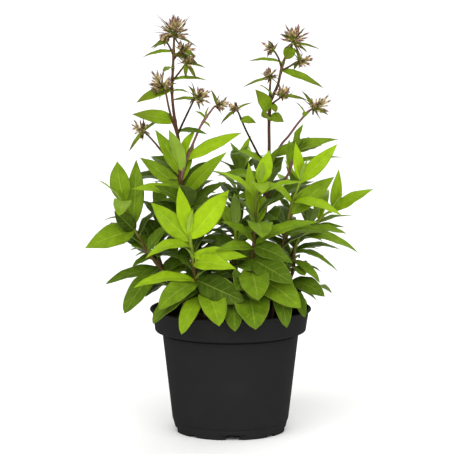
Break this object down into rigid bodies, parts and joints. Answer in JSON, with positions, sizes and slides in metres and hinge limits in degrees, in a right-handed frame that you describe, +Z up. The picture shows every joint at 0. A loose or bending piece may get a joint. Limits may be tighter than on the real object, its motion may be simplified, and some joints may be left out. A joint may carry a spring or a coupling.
{
  "type": "potted phlox plant",
  "caption": "Bushy garden phlox in bud, with tall flowering stems and shorter leafy shoots, growing in a round black nursery pot that stands on a flat base.",
  "frame": {"origin": "centre of the pot's base, on the surface it stands on and on the pot's axis", "axes": "+Z up along the pot's axis, -Y the side that faces the viewer, +X to the viewer's right"},
  "size_m": [0.3012, 0.2097, 0.4407],
  "materials": {
    "pot_plastic": "black moulded polypropylene, satin",
    "compost": "moist peat compost, crumbly and matte",
    "leaf": "living leaf, soft satin sheen",
    "stem": "purple-brown herbaceous stem, satin",
    "bud": "tan and green calyces with dark points, matte"
  },
  "bodies": {
    "root": {"pot": "pot_plastic", "soil": "compost", "shoot_back_centre": "leaf", "shoot_back_left": "leaf", "shoot_back_right": "leaf", "shoot_centre": "leaf", "shoot_far_left": "leaf", "shoot_far_right": "leaf", "shoot_front_left": "leaf", "shoot_front_right": "leaf", "shoot_low_left": "leaf", "shoot_low_right": "leaf", "shoot_right": "leaf", "stem_left_tall": "leaf", "stem_right_tall": "leaf", "head_left_top": "bud", "head_left_second": "bud", "head_left_third": "bud", "head_left_fourth": "bud", "head_left_fifth": "bud", "head_left_sixth": "bud", "head_far_left": "bud", "head_centre_left": "bud", "head_centre_right": "bud", "head_right_top": "bud", "head_right_second": "bud", "head_right_third": "bud", "head_right_fourth": "bud", "head_right_fifth": "bud", "head_far_right": "bud"}
  },
  "joints": []
}
